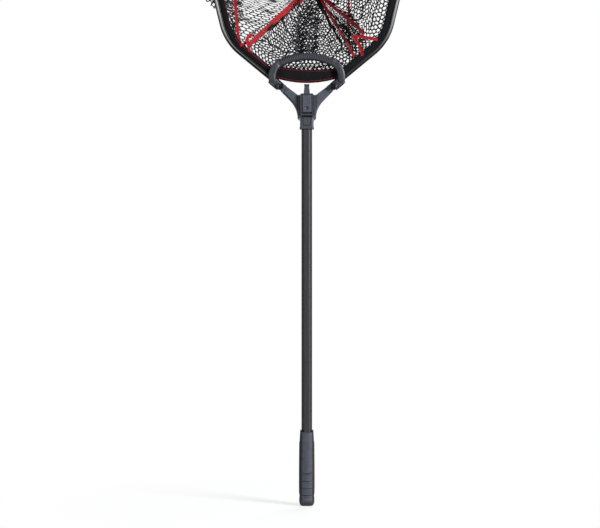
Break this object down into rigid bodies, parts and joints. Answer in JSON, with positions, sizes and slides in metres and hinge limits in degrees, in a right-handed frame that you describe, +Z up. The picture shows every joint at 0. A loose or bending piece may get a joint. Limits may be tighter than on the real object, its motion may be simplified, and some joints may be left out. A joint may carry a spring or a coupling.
{
  "type": "folding landing net",
  "caption": "Folding landing net with a rounded hoop, deep mesh bag, arched lifting bail, quick-release yoke with a push button and a long gripped handle.",
  "frame": {"origin": "centre of the butt cap's flat end face", "axes": "+Z up the handle to the hoop, -Y out of the net's mouth towards the viewer, +X to the viewer's right"},
  "size_m": [0.51, 0.2385, 1.6103],
  "materials": {
    "slate_plastic": "fine moulded texture",
    "slate_rubber": "soft-touch",
    "black_plastic": "fine moulded texture",
    "black_rubber": "matt",
    "red_trim": "satin",
    "tube_metal": "dark anodised, satin",
    "steel": "plain",
    "hoop_metal": "black anodised with a bright line",
    "black_fabric": "woven webbing",
    "red_fabric": "woven tape",
    "mesh": "rubber-coated knotless mesh"
  },
  "bodies": {
    "handle": {"butt_cap": "black_plastic", "grip_sleeve": "slate_rubber", "grip_inlays": "red_trim", "handle_tube": "tube_metal", "head_fitting": "slate_plastic", "fitting_rivet": "steel", "tongue_tip": "black_rubber"},
    "yoke_body": {"yoke": "slate_plastic", "latch_bezel": "slate_plastic", "back_cover": "slate_plastic", "cover_screws": "steel", "latch_spring": "steel", "left_hinge_knuckle": "black_plastic", "right_hinge_knuckle": "black_plastic", "knuckle_rivets": "steel", "button_spring": "steel"},
    "button_body": {"release_button": "slate_plastic"},
    "head": {"left_hinge_clevis": "black_plastic", "right_hinge_clevis": "black_plastic", "hinge_pins": "steel", "hinge_washers": "black_plastic", "left_socket": "slate_plastic", "right_socket": "slate_plastic", "socket_screws": "steel", "bail_core": "steel", "bail_grip": "slate_rubber", "hoop": "hoop_metal", "rim_sleeve": "black_fabric", "rim_piping": "red_fabric", "throat_band": "black_fabric", "throat_piping": "red_fabric", "net_bag": "mesh", "seam_tapes": "red_fabric", "corner_loops": "red_fabric"}
  },
  "joints": [
    {"name": "head_release", "type": "slide", "parent": "handle", "child": "yoke_body", "axis": [0, 0, 1], "range_m": [0, 0.095], "deforming": ["latch_spring"]},
    {"name": "button_press", "type": "slide", "parent": "yoke_body", "child": "button_body", "axis": [0, 1, 0], "range_m": [0, 0.003], "stiffness_N_per_m": 900, "deforming": ["button_spring", "latch_spring"]},
    {"name": "head_fold", "type": "hinge", "parent": "yoke_body", "child": "head", "pos_m": [0, -0.017, 1.004], "axis": [1, 0, 0], "range_deg": [0, 180]}
  ]
}
